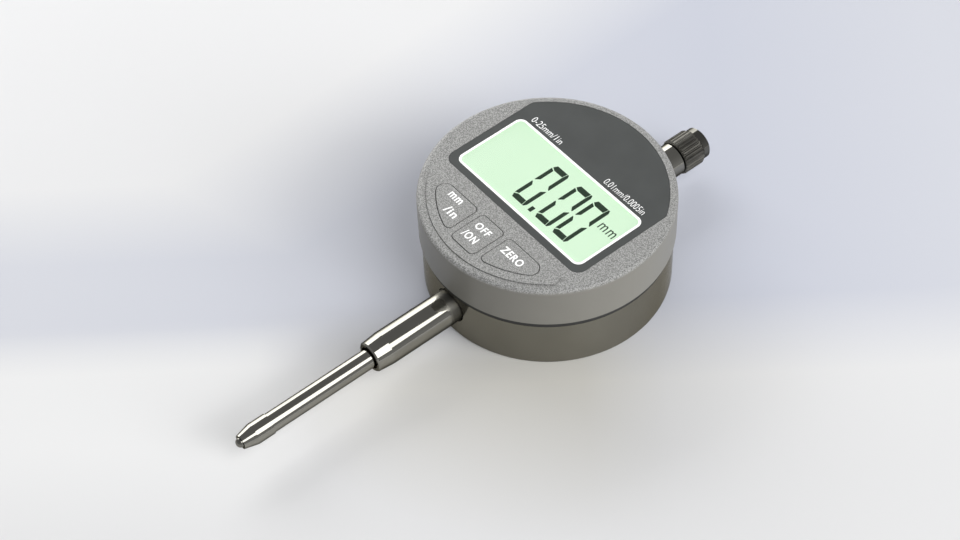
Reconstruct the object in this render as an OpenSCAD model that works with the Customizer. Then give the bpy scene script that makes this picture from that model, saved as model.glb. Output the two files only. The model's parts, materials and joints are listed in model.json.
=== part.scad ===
// Digital dial indicator with 25.4 mm of travel, lying on its back.
// Origin: centre of the back cover's flat face. +Z faces the display, +Y runs to the lift cap,
// and -Y runs along the measuring spindle to the contact ball. All lengths in millimetres.

/* [Housing] */
// Outer radius of the front housing
front_r = 29; // [29:0.1:30]
// Outer radius of the rear case
rear_r = 28.5; // [28.4:0.1:28.9]
// Height of the front housing's face above the back
face_z = 25.2; // [25.2:0.1:26]
// Height of the rear case's rim above the back
rear_h = 12.7; // [12.6:0.05:12.9]
// Thickness of the seal that shows as a dark line between the two shells
seal_t = 1.6; // [1.4:0.1:1.8]
// Radius of the round on the front housing's rim
rim_round = 1; // [0.5:0.1:1.5]

/* [Spindle] */
// Height of the spindle axis above the back
spindle_z = 7.85; // [7.8:0.05:7.9]
// Radius of the spindle
spindle_r = 2.3; // [2.2:0.05:2.35]
// Radius of the contact point
point_r = 2.5; // [2.4:0.05:2.6]
// Radius of the contact ball
ball_r = 1.2; // [1:0.05:1.3]
// Radius of the mounting stem
stem_r = 4; // [4:0.001:4.005]
// Measuring travel
travel = 25.4; // [20:0.1:25.4]

/* [Display and keys] */
// Width of the window opening in the bezel
window_w = 41.8; // [38:0.1:42]
// Height of the window opening in the bezel
window_h = 19.4; // [17:0.1:19.6]
// Half width of the dark display bezel
bezel_x = 22.7; // [22.6:0.1:23]
// Radius of the bezel's curved upper edge
bezel_r = 27.1; // [26.5:0.1:27.3]
// Radius of the key panel's lower edge
panel_r = 26.8; // [26:0.1:26.9]
// Travel of each key
key_travel = 0.35; // [0.2:0.05:0.35]
// Gap around each key
key_gap = 0.2; // [0.1:0.05:0.2]
// Number of flutes on the lift cap
flutes = 28; // [24:1:40]

/* [Hidden] */
$fn = 96;

// Cut tools reach this far past the face they open
over = 1;
// Clearance between fixed parts that sit in one another
seat = 0.02;
// Running clearance between the spindle and its bushes
running = 0.02;

// Stations along the spindle axis
ball_y = -85.4;
nose_y = -85.5;
cone_y = -82.2;
point_y = -78.1;
stem_tip_y = -51;
stem_taper_y = -46.9;
stem_neck_y = -28.4;
stem_seat_y = -26.5;
block_y = 21.5;
sleeve_end_y = 38.7;
cap_y = 38.95;
cap_knurl_y = 44.3;
cap_neck_y = 44.95;
cap_end_y = 46.9;
spindle_end_y = 44;

// Radii on the spindle axis
nose_r = 1.7;
stem_bore_r = 2.9;
stem_mouth_r = 2.7;
stem_neck_r = 3.8;
stem_spigot_r = 3.6;
stem_end_r = 3.65;
stem_face_r = 3.35;
stem_chamfer = 0.35;
cap_r = 4.42;
cap_end_r = 3.9;
flute_depth = 0.32;

// Shell construction
front_z = rear_h + seal_t;
plate_z = face_z - 2;
front_cavity_r = front_r - 2;
rear_cavity_r = 25.6;
edge_chamfer = 0.2;
cover_t = 1.6;
cover_r = 26.8;
floor_z = cover_t + 0.05;
floor_t = 1;
seal_r = rear_r - 0.05;
boss_ring_r = 24.6;
boss_angles = [45, 135, 213, 327];
boss_r = 2.5;
front_boss_r = 2.3;
cover_screw_ring_r = 24.2;
cover_screw_angles = [20, 160, 200, 340];
cover_boss_r = 2.2;
cover_boss_h = 4;
housing_head_z = 4.5;
housing_head_t = 1.5;
housing_tip_z = 20;
block_w = 15;
block_top_z = 12.4;
collar_r = 4.3;
stem_seal_t = 0.7;

// Battery compartment
battery_pos = [14.5, 0];
battery_r = 5.8;
battery_h = 5.4;
battery_z = 2.3;
cap_disc_r = 6.9;
cap_neck_r = 6;
cap_disc_t = 0.9;
cap_top_z = 2.25;
cap_lug_r = 6.9;
cap_lug_w = 4.6;
cap_lug_z = 1.7;
cap_turn = 60;
cap_groove_r = 6.475;
holder_r = 7.2;
holder_top_z = 8.9;

// Display stack, from the board up
board_z = 18.6;
board_t = 1.2;
board_top_z = board_z + board_t;
board_r = 25.6;
bezel_z = face_z - 0.45;
bezel_top_z = face_z - 0.05;
lens_top_z = face_z - 0.1;
lcd_top_z = bezel_z - 0.05;
lcd_front_z = lcd_top_z - 1;
lcd_rear_z = lcd_front_z - 0.8;
window_y = 0.49;
window_corner = 1.9;
lcd_w = 43.4;
lcd_h = 21;
lcd_front_h = 20.2;
bezel_y = -10.95;
bezel_foot_corner = 2.5;
bezel_shoulder_corner = 2;
bezel_gap = 0.08;
strip_w = 39;
strip_t = 1.4;
strip_ys = [-8.9, 9.9];
pillar_points = [[-8, 18], [8, 18], [-10, -12.6], [10, -12.6]];
pillar_r = 1.6;
board_screw_r = 0.6;
board_screw_reach = 2.4;

// Key panel, keys and mat
panel_z = 24.2;
panel_top_z = face_z + 0.25;
panel_y = -13.5;
panel_corner = 2;
panel_gap = 0.07;
key_y = -15.2;
mid_key_x = 3.67;
mid_key_foot_y = -24.5;
mid_key_corner = 1.1;
side_key_x = 5.4;
side_key_r = 24.55;
side_key_corner = 1.1;
side_key_end_corner = 2;
key_top_z = face_z + 0.32;
flange_z = 22.4;
flange_t = 0.7;
flange_grow = 0.5;
plunger_z = 22;
plunger_r = 2;
mid_plunger = [0, -19.9];
side_plunger = [9.6, -19];
mat_t = 0.8;
mat_tip_z = plunger_z - key_travel - 0.05;
dome_r = 2.2;
dome_h = 0.35;

// Scale, carrier and guide
carrier_y = -20.8;
carrier_len = 10;
carrier_w = 10;
carrier_z = 3.2;
carrier_top_z = 11.4;
slider_top_z = 12.25;
pin_y = carrier_y + carrier_len / 2;
pin_r = 1;
pin_tip_x = -11;
rail_x = -11.8;
rail_w = 3.4;
rail_y = -20.8;
rail_end_y = 16;
rail_top_z = 10.8;
rail_screw_ys = [-19, 14];
slot_clear = 0.05;
sensor_board_t = 1;
sensor_board_z = block_top_z;
sensor_board_w = 16;
sensor_board_y = 24.1;
sensor_screw_x = 5.8;
sensor_screw_y = 22.6;

// Return spring
spring_r = 3.05;
spring_wire_r = 0.22;
spring_turns = 13;
spring_steps = 14;
spring_sides = 6;
spring_y = carrier_y + carrier_len + spring_wire_r + 0.05;
spring_end_y = block_y - spring_wire_r - 0.05;

// Screws
screw_r = 0.9;
screw_head_r = 1.75;

// ---------------------------------------------------------------- helpers

// Round bar on the spindle axis between two stations
module bar(r, y0, y1) {
    taper(r, r, y0, y1);
}

// Cone on the spindle axis, with radius r0 at station y0 and r1 at station y1
module taper(r0, r1, y0, y1) {
    translate([0, y1, spindle_z])
        rotate([90, 0, 0])
            cylinder(r1 = r1, r2 = r0, h = y1 - y0);
}

// Bush on the spindle axis
module bush(r, y0, y1) {
    difference() {
        bar(r, y0, y1);
        bar(spindle_r + running, y0 - over, y1 + over);
    }
}

// Repeats the children at a ring of screw positions
module at_ring(r, angles) {
    for (a = angles)
        translate([r * cos(a), r * sin(a), 0])
            children();
}

// Repeats the children at the pillars that carry the main board
module at_pillars() {
    for (p = pillar_points)
        translate([p.x, p.y, 0])
            children();
}

// Repeats the children at the four corners of the sensor board
module at_sensor_screws() {
    for (x = [-sensor_screw_x, sensor_screw_x], y = [-sensor_screw_y, sensor_screw_y])
        translate([x, y, 0])
            children();
}

// Draws the children and their mirror image on the other side of the YZ plane
module both_sides() {
    children();
    mirror([1, 0, 0])
        children();
}

// Rectangle between two corners with round corners
module round_rect(low, high, corner) {
    translate([low.x + corner, low.y])
        square([high.x - low.x - 2 * corner, high.y - low.y]);
    translate([low.x, low.y + corner])
        square([high.x - low.x, high.y - low.y - 2 * corner]);
    for (x = [low.x + corner, high.x - corner], y = [low.y + corner, high.y - corner])
        translate([x, y])
            circle(r = corner);
}

// Screw standing on its head: a shank above a round head with a driver slot
module screw(head_z, head_t, tip_z, r = screw_r, head_r = screw_head_r, slot = 0.4) {
    difference() {
        union() {
            translate([0, 0, head_z])
                cylinder(r = head_r, h = head_t);
            translate([0, 0, head_z])
                cylinder(r = r, h = tip_z - head_z);
        }
        translate([-head_r - over, -0.2, head_z - over])
            cube([2 * (head_r + over), 0.4, slot + over]);
    }
}

// ---------------------------------------------------------------- outlines

// Bezel outline: a disc cut by two upright sides and a flat foot, grown by g
module bezel_outline(g = 0) {
    r = bezel_r + g;
    x = bezel_x + g;
    y = bezel_y - g;
    foot = bezel_foot_corner + g;
    shoulder = bezel_shoulder_corner + g;
    shoulder_x = x - shoulder;
    shoulder_y = sqrt(pow(r - shoulder, 2) - pow(shoulder_x, 2));
    touch = [shoulder_x, shoulder_y] * r / (r - shoulder);
    intersection() {
        circle(r = r);
        polygon([
            [x - foot, y], [x - foot, y + foot], [x, y + foot],
            [x, shoulder_y], [shoulder_x, shoulder_y], 1.5 * touch,
            [0, 2 * r],
            [-1.5 * touch.x, 1.5 * touch.y], [-shoulder_x, shoulder_y], [-x, shoulder_y],
            [-x, y + foot], [foot - x, y + foot], [foot - x, y]
        ]);
    }
    both_sides() {
        translate([shoulder_x, shoulder_y])
            circle(r = shoulder);
        translate([x - foot, y + foot])
            circle(r = foot);
    }
}

// Window opening in the bezel, grown by g
module window_outline(g = 0) {
    round_rect([-window_w / 2 - g, window_y - window_h / 2 - g],
               [window_w / 2 + g, window_y + window_h / 2 + g], window_corner + g);
}

// Crescent below a chord, with round ends, grown by g
module panel_outline(g = 0) {
    r = panel_r + g;
    corner = panel_corner + g;
    y = panel_y + g;
    end_y = y - corner;
    end_x = sqrt(pow(r - corner, 2) - pow(end_y, 2));
    touch = [end_x, end_y] * r / (r - corner);
    intersection() {
        circle(r = r);
        polygon([
            [end_x, y], [end_x, end_y], 1.5 * touch, [0, -2 * r],
            [-1.5 * touch.x, 1.5 * touch.y], [-end_x, end_y], [-end_x, y]
        ]);
    }
    for (x = [-end_x, end_x])
        translate([x, end_y])
            circle(r = corner);
}

// Middle key, grown by g
module mid_key_outline(g = 0) {
    round_rect([-mid_key_x - g, mid_key_foot_y - g], [mid_key_x + g, key_y + g],
               mid_key_corner + g);
}

// Right-hand key: a piece of the crescent with three round corners, grown by g
module side_key_outline(g = 0) {
    r = side_key_r + g;
    x = side_key_x - g;
    y = key_y + g;
    corner = side_key_corner + g;
    end_corner = side_key_end_corner + g;
    end_y = y - end_corner;
    end_x = sqrt(pow(r - end_corner, 2) - pow(end_y, 2));
    foot_x = x + corner;
    foot_y = -sqrt(pow(r - corner, 2) - pow(foot_x, 2));
    end_touch = [end_x, end_y] * r / (r - end_corner);
    foot_touch = [foot_x, foot_y] * r / (r - corner);
    intersection() {
        circle(r = r);
        polygon([
            [x, y - corner], [x + corner, y - corner], [x + corner, y],
            [end_x, y], [end_x, end_y], 1.5 * end_touch,
            1.5 * foot_touch, [foot_x, foot_y], [x, foot_y]
        ]);
    }
    translate([end_x, end_y])
        circle(r = end_corner);
    for (p = [[x + corner, y - corner], [foot_x, foot_y]])
        translate(p)
            circle(r = corner);
}

// ---------------------------------------------------------------- shells

// Block inside the rear case that holds the stem or the upper sleeve
module bore_block() {
    intersection() {
        translate([-block_w / 2, block_y, floor_z])
            cube([block_w, rear_r, block_top_z - floor_z]);
        cylinder(r = rear_r - 1, h = rear_h);
    }
}

// Everything that is cut from the case around the stem or sleeve on one side
module bore_cuts() {
    bar(stem_spigot_r + seat, block_y - over, rear_r);
    bar(collar_r, -stem_seat_y, rear_r + over);
    translate([0, (block_y - stem_seat_y) / 2, 0])
        cylinder(r = screw_r + seat, h = spindle_z);
}

module rear_case() {
    color([0.42, 0.41, 0.38])
    difference() {
        union() {
            difference() {
                rotate_extrude()
                    polygon([
                        [0, 0], [rear_r - edge_chamfer, 0], [rear_r, edge_chamfer],
                        [rear_r, rear_h], [0, rear_h]
                    ]);
                translate([0, 0, floor_z + floor_t])
                    cylinder(r = rear_cavity_r, h = rear_h);
            }
            at_ring(boss_ring_r, boss_angles)
                translate([0, 0, floor_z])
                    cylinder(r = boss_r, h = rear_h - floor_z);
            at_ring(cover_screw_ring_r, cover_screw_angles)
                translate([0, 0, floor_z])
                    cylinder(r = cover_boss_r, h = cover_boss_h);
            for (side = [0, 1])
                mirror([0, side, 0])
                    bore_block();
        }
        // Seat of the back cover
        translate([0, 0, -over])
            cylinder(r = cover_r + 0.1, h = floor_z + over);
        for (side = [0, 1])
            mirror([0, side, 0])
                bore_cuts();
        // Housing screws: head pocket below, clearance hole above
        at_ring(boss_ring_r, boss_angles) {
            cylinder(r = screw_r + 0.1, h = rear_h + over);
            cylinder(r = screw_head_r + 0.1, h = housing_head_z + housing_head_t);
        }
        at_ring(cover_screw_ring_r, cover_screw_angles)
            cylinder(r = screw_r + seat, h = 5);
        at_sensor_screws()
            translate([0, 0, block_top_z - 3.2])
                cylinder(r = screw_r + seat, h = 4);
        for (y = rail_screw_ys)
            translate([rail_x + rail_w / 2, y, 0])
                cylinder(r = screw_r + 0.1, h = 4);
        // Battery well
        translate([battery_pos.x, battery_pos.y, 0])
            cylinder(r = holder_r + 0.1, h = floor_z + floor_t + 0.5);
    }
}

module back_cover() {
    color([0.36, 0.36, 0.35])
    difference() {
        rotate_extrude()
            polygon([
                [0, 0], [cover_r - edge_chamfer, 0], [cover_r, edge_chamfer],
                [cover_r, cover_t], [0, cover_t]
            ]);
        at_ring(cover_screw_ring_r, cover_screw_angles) {
            translate([0, 0, -over])
                cylinder(r = screw_r + 0.1, h = cover_t + 2 * over);
            translate([0, 0, -over])
                cylinder(r = screw_head_r + 0.1, h = 0.8 + over);
        }
        // Bayonet opening for the battery cap
        translate([battery_pos.x, battery_pos.y, -over]) {
            cylinder(r = cap_disc_r + 0.1, h = cap_disc_t + 0.05 + over);
            cylinder(r = cap_neck_r + 0.1, h = cover_t + 2 * over);
            intersection() {
                cylinder(r = cap_lug_r + 0.1, h = cover_t + 2 * over);
                rotate([0, 0, -cap_turn])
                    translate([-cap_lug_r - over, -cap_lug_w / 2 - 0.3, 0])
                        cube([2 * (cap_lug_r + over), cap_lug_w + 0.6, cover_t + 2 * over]);
            }
        }
    }
}

module cover_screws() {
    color([0.6, 0.6, 0.6])
    at_ring(cover_screw_ring_r, cover_screw_angles)
        screw(0.05, 0.7, 4.6);
}

module front_housing() {
    color([0.6, 0.6, 0.58])
    difference() {
        union() {
            difference() {
                translate([0, 0, front_z])
                    rotate_extrude() {
                        square([front_r - rim_round, face_z - front_z]);
                        square([front_r, face_z - front_z - rim_round]);
                        translate([front_r - rim_round, face_z - front_z - rim_round])
                            intersection() {
                                circle(r = rim_round);
                                square(rim_round);
                            }
                    }
                translate([0, 0, front_z - over])
                    cylinder(r = front_cavity_r, h = plate_z - front_z + over);
            }
            at_ring(boss_ring_r, boss_angles)
                translate([0, 0, rear_h])
                    cylinder(r = front_boss_r, h = plate_z - rear_h + 0.5);
            at_pillars()
                translate([0, 0, board_top_z])
                    cylinder(r = pillar_r, h = plate_z - board_top_z + 0.5);
        }
        at_ring(boss_ring_r, boss_angles)
            translate([0, 0, rear_h - over])
                cylinder(r = screw_r + seat, h = housing_tip_z - rear_h + 0.7 + over);
        at_pillars()
            translate([0, 0, board_top_z - over])
                cylinder(r = board_screw_r + seat, h = board_screw_reach + 0.2 + over);
        // Pocket for the bezel, and the opening that the display stands in
        translate([0, 0, bezel_z])
            linear_extrude(face_z)
                bezel_outline(bezel_gap);
        translate([-lcd_w / 2 - 0.2, window_y - lcd_h / 2 - 0.2, plate_z - over])
            cube([lcd_w + 0.4, lcd_h + 0.4, bezel_z - plate_z + 2 * over]);
        // Pocket for the key panel, and the key openings
        translate([0, 0, panel_z])
            linear_extrude(face_z)
                panel_outline(panel_gap);
        translate([0, 0, plate_z - over])
            linear_extrude(face_z)
                key_openings();
    }
}

// The three openings that the keys come through
module key_openings() {
    mid_key_outline(key_gap);
    both_sides()
        side_key_outline(key_gap);
}

module housing_seal() {
    color([0.08, 0.08, 0.08])
    difference() {
        translate([0, 0, rear_h])
            cylinder(r = seal_r, h = seal_t);
        translate([0, 0, rear_h - over])
            cylinder(r = rear_cavity_r + 0.7, h = seal_t + 2 * over);
        at_ring(boss_ring_r, boss_angles)
            cylinder(r = front_boss_r + 0.1, h = face_z);
    }
}

module housing_screws() {
    color([0.6, 0.6, 0.6])
    at_ring(boss_ring_r, boss_angles)
        screw(housing_head_z, housing_head_t, housing_tip_z);
}

// ---------------------------------------------------------------- battery

module battery_cap() {
    color([0.3, 0.3, 0.3])
    translate([battery_pos.x, battery_pos.y, 0])
    difference() {
        union() {
            cylinder(r = cap_disc_r, h = cap_disc_t);
            cylinder(r = cap_neck_r, h = cap_top_z);
            intersection() {
                translate([0, 0, cap_lug_z])
                    cylinder(r = cap_lug_r, h = cap_top_z - cap_lug_z);
                translate([-cap_lug_r - over, -cap_lug_w / 2, 0])
                    cube([2 * (cap_lug_r + over), cap_lug_w, cap_top_z]);
            }
        }
        // Coin slot
        translate([-5, -0.9, -over])
            cube([10, 1.8, 0.8 + over]);
        // Groove of the sealing ring
        translate([0, 0, 0.5])
            difference() {
                cylinder(r = cap_groove_r + 0.275, h = cap_disc_t);
                cylinder(r = cap_groove_r - 0.275, h = cap_disc_t);
            }
    }
}

module cap_seal() {
    color([0.05, 0.05, 0.05])
    translate([battery_pos.x, battery_pos.y, 0.72])
        rotate_extrude()
            translate([cap_groove_r, 0])
                circle(r = 0.21);
}

module battery() {
    color([0.78, 0.78, 0.76])
    translate([battery_pos.x, battery_pos.y, battery_z]) {
        cylinder(r = 4.9, h = battery_h);
        translate([0, 0, 0.3])
            cylinder(r = battery_r, h = battery_h - 0.3);
    }
}

module battery_holder() {
    color([0.15, 0.15, 0.16])
    translate([battery_pos.x, battery_pos.y, 0])
    difference() {
        translate([0, 0, cap_top_z + 0.1])
            cylinder(r = holder_r, h = holder_top_z - cap_top_z - 0.1);
        cylinder(r = battery_r + 0.1, h = battery_z + battery_h + 0.1);
        cylinder(r = 2.2, h = holder_top_z + over);
        // Slot for the side contact
        translate([battery_r, -1.6, 0])
            cube([0.5, 3.2, holder_top_z + over]);
    }
}

module battery_contacts() {
    color([0.85, 0.75, 0.45])
    translate([battery_pos.x, battery_pos.y, 0]) {
        // Leaf on top of the cell, with a post through the holder
        translate([0, 0, battery_z + battery_h + 0.01])
            cylinder(r = 2.1, h = 0.08);
        translate([0, 0, battery_z + battery_h + 0.01])
            cylinder(r = 0.8, h = 1.9);
        // Leaf beside the cell
        translate([battery_r + 0.12, -1.5, battery_z + 0.6])
            cube([0.2, 3, 6.7]);
    }
}

module battery_leads() {
    color([0.75, 0.1, 0.1])
    translate([battery_pos.x, battery_pos.y, 0])
    for (x = [0, battery_r + 0.22])
        translate([x, 0, battery_z + battery_h + 1.93])
            cylinder(r = 0.4, h = board_z - battery_z - battery_h - 1.93);
}

// ---------------------------------------------------------------- display

module display_bezel() {
    color([0.33, 0.34, 0.34])
    translate([0, 0, bezel_z])
        linear_extrude(bezel_top_z - bezel_z)
            difference() {
                bezel_outline();
                window_outline();
            }
}

module display_lens() {
    color([0.86, 0.96, 0.86, 0.35])
    translate([0, 0, bezel_z])
        linear_extrude(lens_top_z - bezel_z)
            window_outline(-seat);
}

// Rectangular plate centred on the window
module window_plate(w, h, z0, z1) {
    translate([-w / 2, window_y - h / 2, z0])
        cube([w, h, z1 - z0]);
}

module lcd_panel() {
    color([0.85, 0.96, 0.85])
    window_plate(lcd_w, lcd_front_h, lcd_front_z, lcd_top_z);
}

module lcd_rear_glass() {
    color([0.7, 0.8, 0.7])
    window_plate(lcd_w, lcd_h, lcd_rear_z, lcd_front_z);
}

module lcd_holder() {
    color([0.9, 0.9, 0.88])
    difference() {
        window_plate(lcd_w + 1.8, lcd_h + 1.6, board_top_z, plate_z - 0.05);
        window_plate(lcd_w + 0.1, lcd_h + 0.1, lcd_rear_z, plate_z + over);
        window_plate(lcd_w - 6, lcd_h - 7, board_top_z - over, lcd_rear_z + over);
        for (y = strip_ys)
            translate([-strip_w / 2 - 0.1, y - strip_t / 2 - 0.1, board_top_z - over])
                cube([strip_w + 0.2, strip_t + 0.2, lcd_rear_z - board_top_z + 2 * over]);
    }
}

module zebra_strips() {
    color([0.85, 0.55, 0.6])
    for (y = strip_ys)
        translate([-strip_w / 2, y - strip_t / 2, board_top_z])
            cube([strip_w, strip_t, lcd_rear_z - board_top_z]);
}

module main_board() {
    color([0.05, 0.35, 0.2])
    difference() {
        translate([0, 0, board_z])
            cylinder(r = board_r, h = board_t);
        at_ring(boss_ring_r, boss_angles)
            cylinder(r = front_boss_r + 0.4, h = face_z);
        at_pillars()
            cylinder(r = board_screw_r + 0.1, h = face_z);
    }
}

module board_screws() {
    color([0.7, 0.7, 0.7])
    at_pillars()
        screw(board_z - 0.8, 0.8, board_top_z + board_screw_reach, board_screw_r, 1.2);
}

module processor_chip() {
    color([0.1, 0.1, 0.1])
    translate([-5, 0, board_z - 1.2])
        cube([9, 9, 1.2]);
}

module crystal() {
    color([0.8, 0.8, 0.8])
    translate([-12, 2, board_z - 1.05])
        rotate([90, 0, 0])
            cylinder(r = 1.05, h = 6);
}

module board_parts() {
    color([0.55, 0.42, 0.25])
    for (row = [0 : 3], column = [0 : 2])
        translate([8 + 3 * column, -5.5 + 4 * row, board_z - 0.6])
            cube([1.6, 0.8, 0.6]);
}

// ---------------------------------------------------------------- keys

module key_panel() {
    color([0.62, 0.62, 0.6])
    translate([0, 0, panel_z])
        linear_extrude(panel_top_z - panel_z)
            difference() {
                panel_outline();
                key_openings();
            }
}

// Key with a flange below the plate and a plunger: child 0 is its outline, child 1 its flange
module key_body(plunger) {
    translate([0, 0, flange_z])
        linear_extrude(key_top_z - flange_z)
            children(0);
    translate([0, 0, flange_z])
        linear_extrude(flange_t)
            children(1);
    translate([plunger.x, plunger.y, plunger_z])
        cylinder(r = plunger_r, h = flange_z - plunger_z + 0.3);
}

module power_key() {
    color([0.62, 0.62, 0.6])
    key_body(mid_plunger) {
        mid_key_outline();
        mid_key_outline(flange_grow);
    }
}

module zero_key() {
    color([0.62, 0.62, 0.6])
    key_body(side_plunger) {
        side_key_outline();
        side_key_outline(flange_grow);
    }
}

module unit_key() {
    mirror([1, 0, 0])
        zero_key();
}

// Repeats the children under the three keys
module at_keys() {
    translate(mid_plunger)
        children();
    both_sides()
        translate(side_plunger)
            children();
}

module key_mat() {
    color([0.2, 0.2, 0.22])
    difference() {
        union() {
            translate([-14, -23, board_top_z])
                cube([28, 8, mat_t]);
            at_keys()
                translate([0, 0, board_top_z])
                    cylinder(r = 1.5, h = mat_tip_z - board_top_z);
        }
        at_keys()
            translate([0, 0, board_top_z - over])
                cylinder(r = dome_r + 0.1, h = dome_h + 0.1 + over);
    }
}

module dome_contacts() {
    color([0.85, 0.8, 0.6])
    at_keys()
        translate([0, 0, board_top_z])
            cylinder(r1 = dome_r, r2 = dome_r / 2, h = dome_h);
}

// ---------------------------------------------------------------- stem and sleeve

module stem() {
    color([0.3, 0.3, 0.28])
    difference() {
        union() {
            taper(stem_face_r, stem_end_r, stem_tip_y, stem_tip_y + stem_chamfer);
            taper(stem_end_r, stem_r, stem_tip_y + stem_chamfer, stem_taper_y);
            bar(stem_r, stem_taper_y, stem_neck_y);
            bar(stem_neck_r, stem_neck_y, stem_seat_y);
            bar(stem_spigot_r, stem_seat_y, -block_y);
        }
        bar(stem_bore_r, stem_tip_y + 1.2, -block_y + over);
        bar(stem_mouth_r, stem_tip_y - over, stem_tip_y + 1.5);
    }
}

module stem_bush_front() {
    color([0.7, 0.5, 0.25])
    bush(stem_bore_r, stem_tip_y + 1.2, stem_tip_y + 8);
}

module stem_bush_rear() {
    color([0.7, 0.5, 0.25])
    bush(stem_bore_r, -29, -block_y - 0.3);
}

module stem_seal() {
    color([0.06, 0.06, 0.06])
    difference() {
        bar(collar_r - 0.03, stem_seat_y - stem_seal_t, stem_seat_y);
        bar(stem_neck_r + seat, -rear_r, 0);
    }
}

module sleeve_seal() {
    mirror([0, 1, 0])
        stem_seal();
}

module upper_sleeve() {
    color([0.3, 0.3, 0.28])
    difference() {
        union() {
            bar(stem_spigot_r, block_y, -stem_seat_y);
            bar(stem_neck_r, -stem_seat_y, -stem_neck_y);
            bar(stem_r, -stem_neck_y, sleeve_end_y - edge_chamfer);
            taper(stem_r, stem_r - edge_chamfer, sleeve_end_y - edge_chamfer, sleeve_end_y);
        }
        bar(stem_bore_r, block_y - over, sleeve_end_y + over);
    }
}

module upper_bush() {
    color([0.7, 0.5, 0.25])
    bush(stem_bore_r, sleeve_end_y - 9, sleeve_end_y - 0.5);
}

module set_screws() {
    color([0.5, 0.5, 0.5])
    for (side = [-1, 1])
        translate([0, side * (block_y - stem_seat_y) / 2, floor_z + 0.2])
            difference() {
                cylinder(r = screw_r, h = spindle_z - stem_spigot_r - floor_z - 0.22);
                translate([0, 0, -0.01])
                    cylinder(r = 0.5, h = 0.9, $fn = 6);
            }
}

// ---------------------------------------------------------------- spindle unit

module spindle() {
    color([0.35, 0.35, 0.33])
    difference() {
        bar(spindle_r, point_y, spindle_end_y);
        bar(1.27, point_y - over, point_y + 5.5);
    }
}

module contact_point() {
    color([0.35, 0.35, 0.33])
    difference() {
        union() {
            taper(nose_r, point_r, nose_y, cone_y);
            bar(point_r, cone_y, point_y);
            bar(1.25, point_y - over, point_y + 5);
        }
        translate([0, ball_y, spindle_z])
            rotate([90, 0, 0])
                sphere(r = ball_r + 0.01);
    }
}

module contact_ball() {
    color([0.25, 0.25, 0.25])
    translate([0, ball_y, spindle_z])
        rotate([90, 0, 0])
            sphere(r = ball_r);
}

// Cross-section of the fluted grip: sloping flanks that run out past the crests
module flute_outline() {
    step = 360 / flutes;
    root = cap_r - flute_depth;
    tip = cap_r + 0.1;
    corners = [[-0.08, tip], [0.08, tip], [0.42, root], [0.58, root]];
    polygon([
        for (i = [0 : flutes - 1], corner = corners)
            let (a = (i + corner[0]) * step)
            corner[1] * [cos(a), sin(a)]
    ]);
}

module lift_cap() {
    bevel = 0.35;
    color([0.3, 0.3, 0.28])
    difference() {
        union() {
            intersection() {
                translate([0, cap_neck_y, spindle_z])
                    rotate([90, 0, 0])
                        linear_extrude(cap_neck_y - cap_y)
                            flute_outline();
                union() {
                    taper(cap_r - bevel, cap_r, cap_y, cap_y + bevel);
                    bar(cap_r, cap_y + bevel, cap_knurl_y);
                    taper(cap_r, cap_end_r, cap_knurl_y, cap_neck_y);
                }
            }
            bar(cap_end_r, cap_neck_y - over, cap_end_y - bevel);
            taper(cap_end_r, cap_end_r - bevel, cap_end_y - bevel, cap_end_y);
        }
        bar(spindle_r + seat, cap_y - over, spindle_end_y + 0.1);
    }
}

module scale_carrier() {
    color([0.7, 0.7, 0.72])
    difference() {
        translate([-carrier_w / 2, carrier_y, carrier_z])
            cube([carrier_w, carrier_len, carrier_top_z - carrier_z]);
        bar(spindle_r + seat, carrier_y - over, carrier_y + carrier_len + over);
        translate([0, pin_y, spindle_z]) {
            rotate([0, 90, 0])
                cylinder(r = screw_r + seat, h = carrier_w);
            rotate([0, -90, 0])
                cylinder(r = pin_r + seat, h = carrier_w);
        }
    }
}

module carrier_screw() {
    color([0.5, 0.5, 0.5])
    translate([spindle_r + 0.03, pin_y, spindle_z])
        rotate([0, 90, 0])
            difference() {
                cylinder(r = screw_r, h = carrier_w / 2 - spindle_r - 0.1);
                translate([0, 0, carrier_w / 2 - spindle_r - 1])
                    cylinder(r = 0.5, h = 2, $fn = 6);
            }
}

module slider_plate() {
    color([0.1, 0.4, 0.25])
    translate([-6.5, carrier_y, carrier_top_z])
        cube([13, 14, slider_top_z - carrier_top_z]);
}

module guide_pin() {
    color([0.75, 0.75, 0.75])
    translate([pin_tip_x, pin_y, spindle_z])
        rotate([0, 90, 0])
            cylinder(r = pin_r, h = -spindle_r - 0.03 - pin_tip_x);
}

module guide_rail() {
    rail_foot_z = floor_z + floor_t;
    slot_r = pin_r + slot_clear;
    color([0.75, 0.72, 0.6])
    difference() {
        translate([rail_x, rail_y, rail_foot_z])
            cube([rail_w, rail_end_y - rail_y, rail_top_z - rail_foot_z]);
        translate([rail_x - over, pin_y - pin_r - 0.3, spindle_z - slot_r])
            cube([rail_w + 2 * over, travel + 2 * pin_r + 0.6, 2 * slot_r]);
        for (y = rail_screw_ys)
            translate([rail_x + rail_w / 2, y, 0])
                cylinder(r = screw_r + seat, h = 6);
    }
}

module rail_screws() {
    color([0.6, 0.6, 0.6])
    for (y = rail_screw_ys)
        translate([rail_x + rail_w / 2, y, 0])
            screw(floor_z + 0.02, 0.9, 5.6, screw_r, screw_r);
}

// Point k of the ring at step i along the spring's helix
function spring_point(i, k) =
    let (n = spring_turns * spring_steps,
         turn = 360 * i / spring_steps,
         side = 360 * k / spring_sides,
         r = spring_r + spring_wire_r * cos(side),
         y = spring_y + (spring_end_y - spring_y) * i / n + spring_wire_r * sin(side))
    [r * cos(turn), y, spindle_z + r * sin(turn)];

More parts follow.
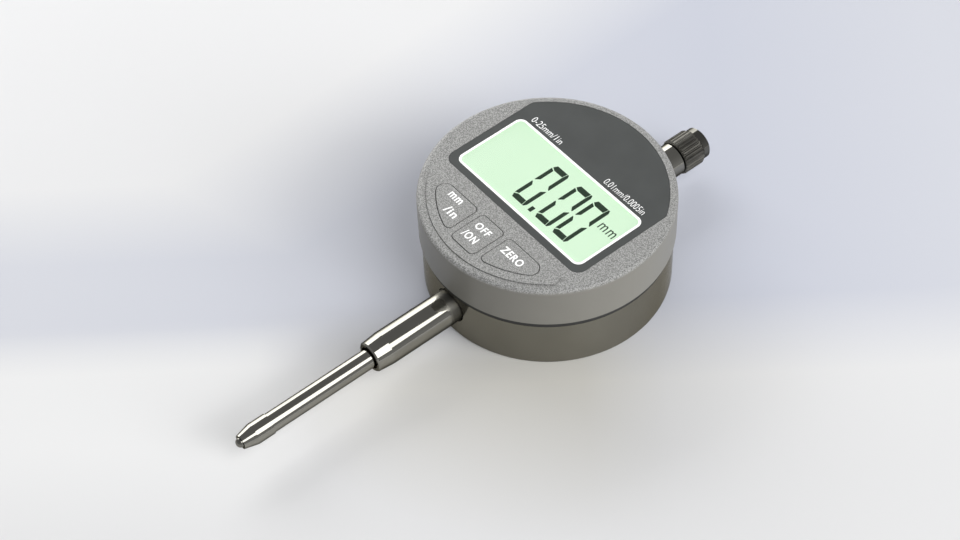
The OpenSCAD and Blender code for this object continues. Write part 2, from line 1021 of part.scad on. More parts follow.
module return_spring() {
    n = spring_turns * spring_steps;
    s = spring_sides;
    color([0.6, 0.6, 0.62])
    polyhedron(
        points = [for (i = [0 : n], k = [0 : s - 1]) spring_point(i, k)],
        faces = concat(
            [[for (k = [0 : s - 1]) k]],
            [[for (k = [s - 1 : -1 : 0]) n * s + k]],
            [for (i = [0 : n - 1], k = [0 : s - 1])
                [i * s + k, (i + 1) * s + k, (i + 1) * s + (k + 1) % s, i * s + (k + 1) % s]]
        )
    );
}

// ---------------------------------------------------------------- sensor

module sensor_board() {
    color([0.05, 0.35, 0.2])
    difference() {
        translate([-sensor_board_w / 2, -sensor_board_y, sensor_board_z])
            cube([sensor_board_w, 2 * sensor_board_y, sensor_board_t]);
        at_sensor_screws()
            cylinder(r = screw_r + 0.1, h = face_z);
    }
}

module sensor_screws() {
    color([0.7, 0.7, 0.7])
    at_sensor_screws()
        translate([0, 0, sensor_board_z + sensor_board_t + 0.8])
            mirror([0, 0, 1])
                screw(0, 0.8, 4.6, screw_r, 1.4);
}

// Ribbon that lies on the sensor board, stands up and turns in under the main board
module flex_cable() {
    t = 0.2;
    low = sensor_board_z + sensor_board_t;
    color([0.75, 0.5, 0.15])
    translate([-4, 0, 0])
        rotate([90, 0, 90])
            linear_extrude(8)
                polygon([
                    [-16, low], [-10, low], [-10, board_z - t], [-4, board_z - t], [-4, board_z],
                    [-10 - t, board_z], [-10 - t, low + t], [-16, low + t]
                ]);
}

rear_case();
back_cover();
cover_screws();
battery_cap();
cap_seal();
battery();
battery_holder();
battery_contacts();
battery_leads();
housing_seal();
front_housing();
housing_screws();
display_bezel();
display_lens();
lcd_panel();
lcd_rear_glass();
lcd_holder();
zebra_strips();
main_board();
board_screws();
processor_chip();
crystal();
board_parts();
key_panel();
unit_key();
power_key();
zero_key();
key_mat();
dome_contacts();
stem();
stem_bush_front();
stem_bush_rear();
stem_seal();
upper_sleeve();
upper_bush();
sleeve_seal();
set_screws();
spindle();
contact_point();
contact_ball();
lift_cap();
scale_carrier();
carrier_screw();
slider_plate();
guide_pin();
guide_rail();
rail_screws();
return_spring();
sensor_board();
sensor_screws();
flex_cable();
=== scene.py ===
"""Looks of the digital dial indicator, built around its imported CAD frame."""

import json
import math

import bmesh
import bpy
from mathutils import Matrix, Vector


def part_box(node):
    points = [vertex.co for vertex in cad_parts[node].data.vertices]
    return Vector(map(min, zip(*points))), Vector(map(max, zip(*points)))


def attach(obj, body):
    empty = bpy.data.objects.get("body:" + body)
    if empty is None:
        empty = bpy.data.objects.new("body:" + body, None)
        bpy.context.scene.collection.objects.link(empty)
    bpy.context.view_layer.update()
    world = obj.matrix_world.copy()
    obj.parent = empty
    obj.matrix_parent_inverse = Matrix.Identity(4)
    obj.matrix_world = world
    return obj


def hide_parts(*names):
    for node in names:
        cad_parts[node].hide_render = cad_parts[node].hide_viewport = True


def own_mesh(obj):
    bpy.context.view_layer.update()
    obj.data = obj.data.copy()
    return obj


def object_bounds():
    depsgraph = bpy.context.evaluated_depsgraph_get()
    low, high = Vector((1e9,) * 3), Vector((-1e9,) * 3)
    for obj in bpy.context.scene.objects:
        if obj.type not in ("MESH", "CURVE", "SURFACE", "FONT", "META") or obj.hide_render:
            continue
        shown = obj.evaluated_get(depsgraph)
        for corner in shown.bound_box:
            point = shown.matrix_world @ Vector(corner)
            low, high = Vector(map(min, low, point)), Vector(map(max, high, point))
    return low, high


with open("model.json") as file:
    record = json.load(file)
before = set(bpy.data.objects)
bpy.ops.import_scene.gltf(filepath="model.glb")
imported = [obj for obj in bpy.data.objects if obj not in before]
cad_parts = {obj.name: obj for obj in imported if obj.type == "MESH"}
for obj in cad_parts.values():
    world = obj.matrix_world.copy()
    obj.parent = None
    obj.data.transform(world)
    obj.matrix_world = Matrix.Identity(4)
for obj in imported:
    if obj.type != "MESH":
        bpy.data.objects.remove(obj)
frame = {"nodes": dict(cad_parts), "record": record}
CAD_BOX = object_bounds()

NODES = frame["nodes"]
MM = 0.001

# Heights of the faces that carry print, and how far print stands proud
LENS_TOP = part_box("display_lens")[1].z
BEZEL_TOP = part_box("display_bezel")[1].z
KEY_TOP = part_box("zero_key")[1].z
LCD_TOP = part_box("lcd_panel")[1].z
FACE_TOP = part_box("front_housing")[1].z
PRINT_T = 0.02 * MM


# ---------------------------------------------------------------- camera

CAMERA_AZIMUTH = math.radians(52.799)
CAMERA_ELEVATION = math.radians(50.653)
CAMERA_ROLL = math.radians(-2.684)
CAMERA_DISTANCE = 504.016 * MM
CAMERA_TARGET = Vector((-8.583, -13.118, 0)) * MM
CAMERA_LENS = 82.32


def direction(azimuth, elevation):
    """Unit vector towards that azimuth, counted from -Y towards +X, and elevation."""
    return Vector((
        math.sin(azimuth) * math.cos(elevation),
        -math.cos(azimuth) * math.cos(elevation),
        math.sin(elevation),
    ))


def add_camera():
    back = direction(CAMERA_AZIMUTH, CAMERA_ELEVATION)
    level = Vector((math.cos(CAMERA_AZIMUTH), math.sin(CAMERA_AZIMUTH), 0))
    right = Matrix.Rotation(CAMERA_ROLL, 3, back) @ level
    turn = Matrix((right, back.cross(right), back)).transposed().to_4x4()
    data = bpy.data.cameras.new("camera")
    data.lens = CAMERA_LENS
    data.sensor_width = 36
    data.clip_start = 0.01
    camera = bpy.data.objects.new("camera", data)
    camera.matrix_world = Matrix.Translation(CAMERA_TARGET + back * CAMERA_DISTANCE) @ turn
    bpy.context.scene.collection.objects.link(camera)
    bpy.context.scene.camera = camera


# ---------------------------------------------------------------- shader helpers


class Shader:
    """A material whose nodes are added one call at a time."""

    def __init__(self, name, roughness=0.5, metallic=0.0, specular=0.5):
        self.material = bpy.data.materials.new(name)
        self.material.use_nodes = True
        self.tree = self.material.node_tree
        self.bsdf = self.tree.nodes["Principled BSDF"]
        self.bsdf.inputs["Roughness"].default_value = roughness
        self.bsdf.inputs["Metallic"].default_value = metallic
        self.bsdf.inputs["Specular IOR Level"].default_value = specular
        self.place = self.node("ShaderNodeTexCoord").outputs["Object"]

    def node(self, kind, **settings):
        made = self.tree.nodes.new(kind)
        for key, value in settings.items():
            setattr(made, key, value)
        return made

    def feed(self, socket, value):
        """Links an output to a socket, or sets the socket's own value."""
        if isinstance(value, bpy.types.NodeSocket):
            self.tree.links.new(value, socket)
        else:
            socket.default_value = value

    def stretched(self, scale, turn=(0, 0, 0)):
        mapping = self.node("ShaderNodeMapping")
        self.feed(mapping.inputs["Vector"], self.place)
        mapping.inputs["Scale"].default_value = scale
        mapping.inputs["Rotation"].default_value = turn
        return mapping.outputs["Vector"]

    def noise(self, scale, detail=2.0, roughness=0.5, vector=None):
        made = self.node("ShaderNodeTexNoise")
        self.feed(made.inputs["Vector"], vector or self.place)
        made.inputs["Scale"].default_value = scale
        made.inputs["Detail"].default_value = detail
        made.inputs["Roughness"].default_value = roughness
        return made.outputs["Fac"]

    def ramp(self, fac, stops):
        """Colour ramp; a stop is (place, colour) and a colour is a grey level or three numbers."""
        made = self.node("ShaderNodeValToRGB")
        self.feed(made.inputs["Fac"], fac)
        points = made.color_ramp.elements
        while len(points) < len(stops):
            points.new(1.0)
        for point, (place, colour) in zip(points, stops):
            point.position = place
            level = (colour,) * 3 if isinstance(colour, (int, float)) else colour
            point.color = (*level, 1)
        return made.outputs["Color"]

    def span(self, value, low, high, to_low=0.0, to_high=1.0):
        """Maps low..high to to_low..to_high, and holds the ends."""
        made = self.node("ShaderNodeMapRange")
        for name, number in (
            ("Value", value), ("From Min", low), ("From Max", high),
            ("To Min", to_low), ("To Max", to_high),
        ):
            self.feed(made.inputs[name], number)
        return made.outputs["Result"]

    def axis(self, name, vector=None):
        split = self.node("ShaderNodeSeparateXYZ")
        self.feed(split.inputs["Vector"], vector or self.place)
        return split.outputs[name]

    def mix(self, fac, a, b, blend="MIX"):
        made = self.node("ShaderNodeMix", data_type="RGBA", blend_type=blend)
        self.feed(made.inputs["Factor"], fac)
        for socket, value in ((made.inputs[6], a), (made.inputs[7], b)):
            self.feed(socket, (*value, 1) if isinstance(value, tuple) else value)
        return made.outputs[2]

    def math(self, operation, a, b):
        made = self.node("ShaderNodeMath", operation=operation)
        self.feed(made.inputs[0], a)
        self.feed(made.inputs[1], b)
        return made.outputs[0]

    def product(self, first, *others):
        for value in others:
            first = self.math("MULTIPLY", first, value)
        return first

    def colour(self, value):
        self.feed(self.bsdf.inputs["Base Color"], value)

    def roughness(self, value):
        self.feed(self.bsdf.inputs["Roughness"], value)

    def metallic(self, value):
        self.feed(self.bsdf.inputs["Metallic"], value)

    def bump(self, height, distance, strength=1.0):
        made = self.node("ShaderNodeBump")
        self.feed(made.inputs["Height"], height)
        made.inputs["Distance"].default_value = distance
        self.feed(made.inputs["Strength"], strength)
        self.feed(self.bsdf.inputs["Normal"], made.outputs["Normal"])


# ---------------------------------------------------------------- materials

STEEL = (0.29, 0.282, 0.25)

# Noise scales, in waves per metre
STIPPLE_GRAIN = 4000
STIPPLE_PATCH = 1500
SATIN_GRAIN = 900
MOULDED_GRAIN = 1500

# Heights between which the front housing goes from a smooth wall to a stippled face
WALL_END_Z = FACE_TOP - 0.85 * MM
STIPPLE_START_Z = FACE_TOP - 0.3 * MM

# Share of the lift cap's length that is fluted, from its end at the sleeve
FLUTED_SHARE = 0.755

# The stem is roughened and darkened with painted shade between these two places along Y, and stays so up
# to the case
STEM_DULL_AND_SHADE = (-31.6 * MM, -30.2 * MM)
ROOT_PAINTED_SHADE = 0.5
DULL_ROUGHNESS = 0.35


def tinted(colour, factor):
    return tuple(channel * factor for channel in colour)


def housing_paint():
    """Fine stippled silver grey on the face, smooth satin on the upright wall below the rim."""
    shader = Shader("housing_paint", specular=0.4)
    grain = shader.noise(STIPPLE_GRAIN, detail=1)
    patch = shader.noise(STIPPLE_PATCH, detail=1)
    relief = shader.math("ADD", shader.math("MULTIPLY", grain, 0.85),
                         shader.math("MULTIPLY", patch, 0.15))
    stipple = shader.ramp(relief, [(0.37, (0.17, 0.17, 0.164)), (0.5, (0.29, 0.29, 0.28)),
                                   (0.63, (0.43, 0.43, 0.416))])
    cloud = shader.noise(60, detail=2)
    wall = shader.ramp(cloud, [(0.3, (0.196, 0.19, 0.168)), (0.7, (0.208, 0.202, 0.18))])
    on_face = shader.span(shader.axis("Z"), WALL_END_Z, STIPPLE_START_Z)
    shader.colour(shader.mix(on_face, wall, stipple))
    shader.metallic(shader.span(on_face, 0, 1, 0.0, 0.2))
    shader.roughness(shader.span(on_face, 0, 1, 0.4, 0.55))
    shader.bump(relief, 0.04 * MM, shader.span(on_face, 0, 1, 0.02, 0.7))
    return shader.material


def satin_metal(name, colour, roughness, metallic=0.8, edge=(1, 1, 1)):
    """Cast or turned metal under a thin satin finish; edge tints what it mirrors at a flat angle."""
    shader = Shader(name, metallic=metallic)
    shader.bsdf.inputs["Specular Tint"].default_value = (*edge, 1)
    cloud = shader.noise(70, detail=3)
    shader.colour(shader.ramp(cloud, [(0.3, tinted(colour, 0.93)), (0.7, tinted(colour, 1.07))]))
    grain = shader.noise(SATIN_GRAIN, detail=2)
    shader.roughness(shader.span(grain, 0.3, 0.7, roughness - 0.05, roughness + 0.05))
    shader.bump(grain, 0.01 * MM, 0.15)
    return shader.material


def polished_metal(name, colour, roughness, edge=0.5, stretch=(900, 40, 900), dull_and_shade=None):
    """Ground and polished metal with faint scratches along Y, roughened and darkened with painted shade
    from the first Y to the second.
    """
    shader = Shader(name, metallic=1.0, specular=0.5)
    shader.bsdf.inputs["Specular Tint"].default_value = (edge, edge, edge, 1)
    scratch = shader.noise(1.0, detail=4, roughness=0.6, vector=shader.stretched(stretch))
    smudge = shader.noise(120, detail=3)
    surface = shader.ramp(smudge, [(0.3, tinted(colour, 0.95)), (0.7, tinted(colour, 1.05))])
    polish = shader.span(scratch, 0.3, 0.7, roughness * 0.8, roughness * 1.3)
    if dull_and_shade:
        # Painted shade: towards the case the colour darkens to a share of itself, and the surface also
        # roughens
        share = shader.span(shader.axis("Y"), *dull_and_shade)
        surface = shader.mix(share, surface, tinted(colour, ROOT_PAINTED_SHADE))
        polish = shader.math("ADD", polish, shader.math("MULTIPLY", share, DULL_ROUGHNESS))
    shader.colour(surface)
    shader.roughness(polish)
    shader.bump(scratch, 0.002 * MM, 0.02)
    return shader.material


def knurled_metal():
    """The polished steel of the lift cap, dulled where it is fluted."""
    low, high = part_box("lift_cap")
    flutes_end = low.y + FLUTED_SHARE * (high.y - low.y)
    shader = Shader("knurled_steel", metallic=1.0)
    shader.bsdf.inputs["Specular Tint"].default_value = (0.3, 0.3, 0.3, 1)
    smudge = shader.noise(400, detail=3)
    shader.colour(shader.ramp(smudge, [(0.3, tinted(STEEL, 0.42)), (0.7, tinted(STEEL, 0.6))]))
    shader.roughness(shader.span(shader.axis("Y"), flutes_end - 0.1 * MM, flutes_end + 0.1 * MM,
                                 0.42, 0.06))
    shader.bump(smudge, 0.01 * MM, shader.span(shader.axis("Y"), low.y, flutes_end, 0.3, 0.1))
    return shader.material


def moulded(name, colour, roughness=0.45, grain=0.2, specular=0.4):
    """Moulded plastic or rubber with a fine grain."""
    shader = Shader(name, specular=specular)
    cloud = shader.noise(150, detail=2)
    shader.colour(shader.ramp(cloud, [(0.3, tinted(colour, 0.93)), (0.7, tinted(colour, 1.07))]))
    fine = shader.noise(MOULDED_GRAIN, detail=3)
    shader.roughness(shader.span(fine, 0.3, 0.7, roughness - 0.04, roughness + 0.06))
    shader.bump(fine, 0.02 * MM, grain)
    return shader.material


def lcd_glass():
    """Pale green reflective display with the faint cell pattern of its electrodes."""
    shader = Shader("lcd_glass", roughness=0.35, specular=0.3)
    cloud = shader.noise(45, detail=2)
    green = shader.ramp(cloud, [(0.3, (0.44, 0.60, 0.43)), (0.7, (0.47, 0.62, 0.46))])
    rows = shader.node("ShaderNodeTexWave", bands_direction="Y")
    shader.feed(rows.inputs["Vector"], shader.place)
    rows.inputs["Scale"].default_value = 900
    shader.colour(shader.mix(shader.span(rows.outputs["Fac"], 0, 1, 0, 0.03), green, (0.35, 0.5, 0.35)))
    # Painted light: a faint green glow lifts the display out of the shade of the bezel and window edges
    shader.feed(shader.bsdf.inputs["Emission Color"], (0.71, 0.93, 0.69, 1))
    shader.bsdf.inputs["Emission Strength"].default_value = 0.31
    return shader.material


def clear_window():
    """Clear acrylic: it hardly shows except where it catches a light."""
    shader = Shader("clear_window", roughness=0.04, specular=0.6)
    haze = shader.noise(300, detail=2)
    shader.colour(shader.ramp(haze, [(0.3, (0.3, 0.36, 0.3)), (0.7, (0.36, 0.42, 0.36))]))
    shader.bsdf.inputs["Alpha"].default_value = 0.02
    return shader.material


def print_ink(name, colour, painted_glow=0.0, specular=0.3):
    """Screen-printed ink with slightly uneven cover."""
    shader = Shader(name, roughness=0.5, specular=specular)
    cover = shader.noise(2500, detail=2)
    shader.colour(shader.ramp(cover, [(0.3, tinted(colour, 0.94)), (0.6, colour)]))
    # Painted light: the ink glows by the given strength, though it is no lamp
    shader.feed(shader.bsdf.inputs["Emission Color"], (*colour, 1))
    shader.bsdf.inputs["Emission Strength"].default_value = painted_glow
    shader.bump(cover, 0.004 * MM, 0.3)
    return shader.material


def circuit_board():
    """Green solder mask over a faint pattern of copper tracks."""
    shader = Shader("circuit_board", roughness=0.35, specular=0.5)
    brick = shader.node("ShaderNodeTexBrick")
    shader.feed(brick.inputs["Vector"], shader.place)
    brick.inputs["Scale"].default_value = 260
    brick.inputs["Mortar Size"].default_value = 0.03
    tracks = shader.mix(brick.outputs["Fac"], (0.015, 0.14, 0.05), (0.03, 0.22, 0.08))
    speck = shader.noise(1200, detail=2)
    shader.colour(shader.mix(shader.span(speck, 0.62, 0.7, 0, 0.5), tracks, (0.5, 0.45, 0.25)))
    shader.bump(brick.outputs["Fac"], 0.03 * MM, 0.3)
    return shader.material


def striped_elastomer():
    """Contact strip: layers of conductive and plain rubber."""
    shader = Shader("striped_elastomer", roughness=0.7, specular=0.2)
    layers = shader.node("ShaderNodeTexWave", bands_direction="X")
    shader.feed(layers.inputs["Vector"], shader.place)
    layers.inputs["Scale"].default_value = 1500
    shader.colour(shader.ramp(layers.outputs["Fac"], [(0.4, (0.03, 0.03, 0.03)), (0.6, (0.6, 0.25, 0.3))]))
    shader.bump(layers.outputs["Fac"], 0.01 * MM, 0.3)
    return shader.material


def floor_material():
    """White table top with a broad band of faint blue across its middle that opens to the right."""
    shader = Shader("floor", roughness=0.3, specular=0.3)
    turned = shader.stretched((1, 1, 1), turn=(0, 0, -CAMERA_AZIMUTH))
    across, away = shader.axis("X", turned), shader.axis("Y", turned)

    white = shader.ramp(shader.span(away, -60 * MM, 50 * MM), [(0, 0.715), (1, 0.76)])
    cloud = shader.noise(3, detail=2)
    surface = shader.mix(shader.span(cloud, 0.3, 0.7, 0, 0.03), white, (0.6, 0.6, 0.6))

    # Band of faint blue, with a far edge that slants away to the right
    near_edge = shader.span(away, -34 * MM, -12 * MM)
    slanted = shader.math("SUBTRACT", away, shader.math("MULTIPLY", across, 0.79))
    far_edge = shader.math("MAXIMUM", shader.span(away, 6 * MM, 30 * MM, 1, 0),
                           shader.span(slanted, 52 * MM, 100 * MM, 1, 0))
    depth = shader.ramp(shader.span(across, -0.12, 0.1), [(0, 0.62), (0.75, 1.0), (1, 0.7)])
    surface = shader.mix(shader.product(near_edge, far_edge, depth), surface, (0.54, 0.56, 0.63))

    # Painted reflection and shade of the housing: a warm darkening of the floor in front of it
    squares = [shader.math("MULTIPLY", side, side) for side in (across, away)]
    distance = shader.math("POWER", shader.math("ADD", *squares), 0.5)
    painted_reflection_shade = shader.product(
        shader.span(distance, 29 * MM, 75 * MM, 1, 0),
        shader.span(away, -8 * MM, -28 * MM),
        shader.span(across, 6 * MM, 24 * MM, 1, 0.2),
    )
    surface = shader.mix(painted_reflection_shade, surface, (0.85, 0.83, 0.76), "MULTIPLY")

    # Painted light: a brighter patch at the near left
    patch = shader.product(
        shader.span(across, -52 * MM, -66 * MM),
        shader.span(away, -14 * MM, -26 * MM),
        shader.span(away, -72 * MM, -46 * MM),
    )
    shader.colour(shader.mix(patch, surface, (0.775, 0.775, 0.77)))
    return shader.material


MATERIALS = {
    "housing_grey": housing_paint(),
    "case_grey": satin_metal("case_satin", (0.205, 0.198, 0.172), 0.18, metallic=0.85,
                              edge=(0.62, 0.57, 0.45)),
    "cover_grey": moulded("cover_plastic", (0.10, 0.10, 0.098), 0.5, grain=0.35),
    "bezel_dark": moulded("bezel_plastic", (0.062, 0.066, 0.064), 0.42, grain=0.08, specular=0.25),
    "lens_clear": clear_window(),
    "lcd_green": lcd_glass(),
    "lcd_glass": moulded("lcd_back", (0.55, 0.65, 0.55), 0.2, grain=0.02),
    "polished_steel": polished_metal("polished_steel", STEEL, 0.05, edge=0.12),
    "screw_steel": satin_metal("screw_steel", (0.42, 0.42, 0.41), 0.28, metallic=1.0),
    "carbide": polished_metal("carbide", tinted(STEEL, 0.7), 0.08, stretch=(600, 600, 600)),
    "light_alloy": satin_metal("light_alloy", (0.62, 0.62, 0.64), 0.35),
    "bronze": satin_metal("bronze", (0.5, 0.3, 0.12), 0.4),
    "contact_brass": satin_metal("contact_brass", (0.75, 0.58, 0.28), 0.3),
    "black_rubber": moulded("black_rubber", (0.03, 0.03, 0.029), 0.6, grain=0.4),
    "elastomer": striped_elastomer(),
    "board_green": circuit_board(),
    "chip_black": moulded("chip_black", (0.02, 0.02, 0.02), 0.5),
    "holder_black": moulded("holder_black", (0.035, 0.035, 0.037), 0.45, grain=0.3),
    "holder_white": moulded("holder_white", (0.75, 0.75, 0.72)),
    "battery_steel": satin_metal("battery_steel", (0.6, 0.6, 0.58), 0.25, metallic=1.0),
    "part_tan": moulded("part_tan", (0.32, 0.2, 0.09)),
    "lead_red": moulded("lead_red", (0.5, 0.02, 0.02)),
    "ribbon_amber": moulded("ribbon_amber", (0.5, 0.24, 0.04), 0.25),
}
OWN_MATERIALS = {
    "lift_cap": knurled_metal(),
    "stem": polished_metal("stem_steel", STEEL, 0.05, edge=0.12, dull_and_shade=STEM_DULL_AND_SHADE),
}
# The white ink carries a faint painted glow
WHITE_INK = print_ink("white_ink", (0.95, 0.95, 0.94), painted_glow=0.2)
SEGMENT_INK = print_ink("segment_ink", (0.010, 0.026, 0.012), specular=0.1)


def dress_nodes():
    """Gives every CAD node its own material, or else that of its slot in the record."""
    for part in frame["record"]["subparts"]:
        mesh = NODES[part["node"]].data
        mesh.materials.clear()
        mesh.materials.append(OWN_MATERIALS.get(part["node"]) or MATERIALS[part["material_slot"]])


# ---------------------------------------------------------------- mesh helpers


def add_piece(name, mesh, material, body):
    piece = bpy.data.objects.new(name, mesh)
    bpy.context.scene.collection.objects.link(piece)
    mesh.materials.clear()
    mesh.materials.append(material)
    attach(piece, body)
    return piece


def arc(centre, radius, start, end, steps=10):
    """Points along an arc; the angles are in degrees."""
    angles = (math.radians(start + (end - start) * i / steps) for i in range(steps + 1))
    return [(centre[0] + radius * math.cos(a), centre[1] + radius * math.sin(a)) for a in angles]


def round_rect(low, high, corner):
    """Outline of a rectangle with round corners, counter-clockwise from its right side."""
    centres = (
        (high[0] - corner, high[1] - corner), (low[0] + corner, high[1] - corner),
        (low[0] + corner, low[1] + corner), (high[0] - corner, low[1] + corner),
    )
    return [p for i, c in enumerate(centres) for p in arc(c, corner, 90 * i, 90 * i + 90)]


def extrude_flat(name, faces, base, top):
    """Mesh of flat outlines, each a list of (x, y), raised from base to top."""
    bm = bmesh.new()
    for outline in faces:
        lower = [bm.verts.new((x, y, base)) for x, y in outline]
        upper = [bm.verts.new((x, y, top)) for x, y in outline]
        bm.faces.new(upper)
        bm.faces.new(lower[::-1])
        for i in range(len(outline)):
            j = (i + 1) % len(outline)
            bm.faces.new((lower[i], lower[j], upper[j], upper[i]))
    mesh = bpy.data.meshes.new(name)
    bm.to_mesh(mesh)
    bm.free()
    return mesh


def ring_mesh(name, outer, inner, base, top):
    """Closed band between two outlines with the same number of points."""
    bm = bmesh.new()
    loops = [
        [bm.verts.new((x, y, z)) for x, y in outline]
        for outline, z in ((outer, base), (outer, top), (inner, top), (inner, base))
    ]
    for a, b in zip(loops, loops[1:] + loops[:1]):
        for i in range(len(a)):
            j = (i + 1) % len(a)
            bm.faces.new((a[i], a[j], b[j], b[i]))
    mesh = bpy.data.meshes.new(name)
    bm.to_mesh(mesh)
    bm.free()
    return mesh


# ---------------------------------------------------------------- display


def window_frame():
    """White line printed round the edge of the window."""
    line_w = 0.58 * MM
    low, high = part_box("display_lens")
    corner = 1.88 * MM
    outer = round_rect(low, high, corner)
    inner = round_rect((low.x + line_w, low.y + line_w), (high.x - line_w, high.y - line_w),
                       corner - line_w)
    mesh = ring_mesh("window_frame_line", outer, inner, LENS_TOP, LENS_TOP + PRINT_T)
    line = add_piece("window_frame_line", mesh, WHITE_INK, "case")
    line.visible_shadow = False


# Lit segments of the display, in millimetres
DIGIT_W = 4.74
DIGIT_H = 13.4
DIGIT_Y = -6.58
DIGIT_XS = (-4.81, 3.09, 8.94)
BAR_T = 1.5
POST_T = 0.97
GAP = 0.13
POINT_XS = (1.0, 2.0)
POINT_H = 1.55
POINT_CORNER = 0.1


def zero_segments():
    """The six lit segments of a zero, in millimetres from its lower left corner."""
    middle = DIGIT_H / 2
    post_x = DIGIT_W - POST_T
    bar = [(0.1, DIGIT_H - 0.95), (0.6, DIGIT_H), (post_x + 0.1, DIGIT_H),
           (post_x - GAP, DIGIT_H - BAR_T), (POST_T, DIGIT_H - BAR_T)]
    left = [(0, DIGIT_H - 1.28), (POST_T, DIGIT_H - BAR_T - 1.8 * GAP), (POST_T, middle + 1.2),
            (0.2, middle + 0.35), (0, middle + 0.35)]
    right = [(post_x + 0.1 + GAP, DIGIT_H), (DIGIT_W - 0.4, DIGIT_H), (DIGIT_W, DIGIT_H - 0.8),
             (DIGIT_W, middle + 0.35), (DIGIT_W - 0.2, middle + 0.35), (post_x, middle + 1.2),
             (post_x, DIGIT_H - BAR_T)]
    upper = [bar[::-1], left[::-1], right[::-1]]
    lower = [[(x, DIGIT_H - y) for x, y in segment[::-1]] for segment in upper]
    return upper + lower


def digits():
    for i, left in enumerate(DIGIT_XS):
        outlines = [[((left + x) * MM, (DIGIT_Y + y) * MM) for x, y in segment]
                    for segment in zero_segments()]
        name = f"lcd_digit_{i + 1}"
        mesh = extrude_flat(name, outlines, LCD_TOP, LCD_TOP + PRINT_T)
        add_piece(name, mesh, SEGMENT_INK, "case")
    point = round_rect((POINT_XS[0] * MM, DIGIT_Y * MM), (POINT_XS[1] * MM, (DIGIT_Y + POINT_H) * MM),
                       POINT_CORNER * MM)
    mesh = extrude_flat("lcd_decimal_point", [point], LCD_TOP, LCD_TOP + PRINT_T)
    add_piece("lcd_decimal_point", mesh, SEGMENT_INK, "case")


# ---------------------------------------------------------------- lettering


def lettering(name, text, low, high, z, material, body, slot, weight=0.0, spacing=1.15):
    """Flat letters that fill the box from low to high, in millimetres, on the face at height z."""
    curve = bpy.data.curves.new(name, "FONT")
    curve.body = text
    curve.resolution_u = 4
    curve.offset = weight
    curve.space_character = spacing
    curve.extrude = 0.5
    source = bpy.data.objects.new(name + "_source", curve)
    bpy.context.scene.collection.objects.link(source)
    bpy.context.view_layer.update()
    evaluated = source.evaluated_get(bpy.context.evaluated_depsgraph_get())
    mesh = bpy.data.meshes.new_from_object(evaluated)
    mesh.name = name
    bpy.data.objects.remove(source)
    bpy.data.curves.remove(curve)
    start = Vector([min(v.co[k] for v in mesh.vertices) for k in range(3)])
    end = Vector([max(v.co[k] for v in mesh.vertices) for k in range(3)])
    size = Vector(((high[0] - low[0]) * MM, (high[1] - low[1]) * MM, PRINT_T))
    for v in mesh.vertices:
        share = [(v.co[k] - start[k]) / (end[k] - start[k]) for k in range(3)]
        v.co = (low[0] * MM + share[0] * size.x, low[1] * MM + share[1] * size.y,
                z + share[2] * size.z)
    return add_piece(name, mesh, material, body)


def all_lettering():
    bezel = (BEZEL_TOP, WHITE_INK, "case", "bezel_dark")
    lettering("range_text", "0-25mm/1in", (-18.66, 10.95), (-8.77, 12.75), *bezel, -0.008, 1.0)
    lettering("resolution_text", "0.01mm/0.0005in", (6.12, 10.95), (18.9, 12.75), *bezel, -0.012, 1.0)
    lettering("lcd_unit", "mm", (14.74, 1.67), (19.43, 3.55), LCD_TOP, SEGMENT_INK, "case", "lcd_green")
    for name, text, low, high, body in (
        ("unit_text_1", "mm", (-13.3, -17.6), (-9.3, -16.1), "unit_key"),
        ("unit_text_2", "/in", (-10.6, -21.2), (-7.0, -19.0), "unit_key"),
        ("power_text_1", "OFF", (-2.4, -19.0), (1.9, -17.1), "power_key"),
        ("power_text_2", "/ON", (-2.7, -22.5), (1.5, -20.4), "power_key"),
        ("zero_text", "ZERO", (6.6, -19.1), (13.0, -17.1), "zero_key"),
    ):
        lettering(name, text, low, high, KEY_TOP, WHITE_INK, body, "housing_grey", weight=0.022)


# ---------------------------------------------------------------- return spring

SPRING_TURNS = 13
SPRING_END_TURNS = 1.0
SPRING_WIRE_R = 0.22 * MM
SPRING_STEPS_PER_TURN = 28
SPRING_SIDES = 10


def return_spring():
    """Round-wire compression spring with a closed turn at each end."""
    low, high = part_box("return_spring")
    centre = (low + high) / 2
    radius = (high.x - low.x) / 2 - SPRING_WIRE_R
    start, end = low.y + SPRING_WIRE_R, high.y - SPRING_WIRE_R
    steps = SPRING_STEPS_PER_TURN * SPRING_TURNS
    closed = SPRING_END_TURNS / SPRING_TURNS
    closed_rise = 2 * SPRING_WIRE_R * SPRING_END_TURNS / (end - start)

    def rise(t):
        """Share of the length at share t of the turns."""
        if t < closed:
            return closed_rise * t / closed
        if t > 1 - closed:
            return 1 - closed_rise * (1 - t) / closed
        return closed_rise + (1 - 2 * closed_rise) * (t - closed) / (1 - 2 * closed)

    bm = bmesh.new()
    rings = []
    for i in range(steps + 1):
        t = i / steps
        turn = math.tau * SPRING_TURNS * t
        out = Vector((math.cos(turn), 0, math.sin(turn)))
        middle = Vector((centre.x, start + (end - start) * rise(t), centre.z)) + out * radius
        rings.append([
            bm.verts.new(middle + SPRING_WIRE_R * (out * math.cos(a) + Vector((0, math.sin(a), 0))))
            for a in (math.tau * k / SPRING_SIDES for k in range(SPRING_SIDES))
        ])
    for a, b in zip(rings, rings[1:]):
        for k in range(SPRING_SIDES):
            j = (k + 1) % SPRING_SIDES
            bm.faces.new((a[k], b[k], b[j], a[j]))
    bm.faces.new(rings[0])
    bm.faces.new(rings[-1][::-1])
    for face in bm.faces:
        face.smooth = len(face.verts) == 4
    mesh = bpy.data.meshes.new("return_spring_coil")
    bm.to_mesh(mesh)
    bm.free()
    piece = add_piece("return_spring_coil", mesh, MATERIALS["battery_steel"], "case")
    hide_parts("return_spring")
    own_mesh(piece)


# ---------------------------------------------------------------- studio

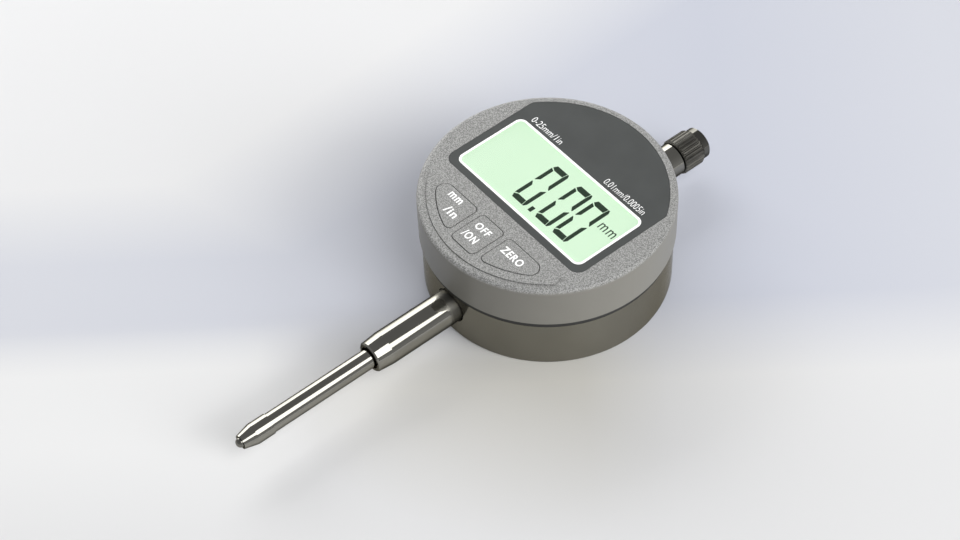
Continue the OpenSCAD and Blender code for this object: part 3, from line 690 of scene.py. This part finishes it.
FLOOR_SIZE = 3
PANEL_AIM = Vector((0, -0.045, 0.008))

# Name, place, size along and across Y, radiance, shape, and whether metal mirrors it
PANELS = (
    ("left_panel", (-1.405, 0.425, 0.533), (1.75, 1.12), 4.0, "RECTANGLE", True),
    ("right_panel", (1.018, 0.045, 1.1), (1.05, 1.304), 4.0, "ELLIPSE", True),
    ("key", (2.05, 0.85, 0.9), (1.3, 1.3), 6.2, "RECTANGLE", False),
)

ROOM_LOW = (0.46, 0.465, 0.48)
ROOM_HIGH = (0.27, 0.272, 0.28)


def add_floor():
    bm = bmesh.new()
    bmesh.ops.create_grid(bm, x_segments=1, y_segments=1, size=FLOOR_SIZE)
    mesh = bpy.data.meshes.new("floor")
    bm.to_mesh(mesh)
    bm.free()
    floor = bpy.data.objects.new("floor", mesh)
    floor.location.z = CAD_BOX[0].z
    mesh.materials.append(floor_material())
    bpy.context.scene.collection.objects.link(floor)


def add_panel(name, place, size, radiance, shape, mirrored):
    """Soft light that faces the stem."""
    data = bpy.data.lights.new(name, "AREA")
    data.shape = shape
    data.size, data.size_y = size
    area = size[0] * size[1] * (math.pi / 4 if shape == "ELLIPSE" else 1)
    data.energy = radiance * area * math.pi
    light = bpy.data.objects.new(name, data)
    light.visible_glossy = mirrored
    back = (Vector(place) - PANEL_AIM).normalized()
    side = Vector((0, 1, 0))
    up = back.cross(side).normalized()
    side = up.cross(back)
    light.matrix_world = Matrix.Translation(place) @ Matrix((side, up, back)).transposed().to_4x4()
    bpy.context.scene.collection.objects.link(light)


def add_world():
    """Dim studio room, a little brighter towards the horizon."""
    world = bpy.data.worlds.new("studio")
    world.use_nodes = True
    tree = world.node_tree
    background = tree.nodes["Background"]
    place = tree.nodes.new("ShaderNodeTexCoord")
    split = tree.nodes.new("ShaderNodeSeparateXYZ")
    ramp = tree.nodes.new("ShaderNodeValToRGB")
    tree.links.new(place.outputs["Generated"], split.inputs["Vector"])
    tree.links.new(split.outputs["Z"], ramp.inputs["Fac"])
    tree.links.new(ramp.outputs["Color"], background.inputs["Color"])
    ramp.color_ramp.elements[0].color = (*ROOM_LOW, 1)
    ramp.color_ramp.elements[1].color = (*ROOM_HIGH, 1)
    ramp.color_ramp.elements[1].position = 0.8
    bpy.context.scene.world = world


def add_studio():
    add_floor()
    add_world()
    for panel in PANELS:
        add_panel(*panel)
    bpy.context.scene.view_settings.view_transform = "Standard"


# ---------------------------------------------------------------- build

add_camera()
add_studio()
dress_nodes()
window_frame()
digits()
all_lettering()
return_spring()
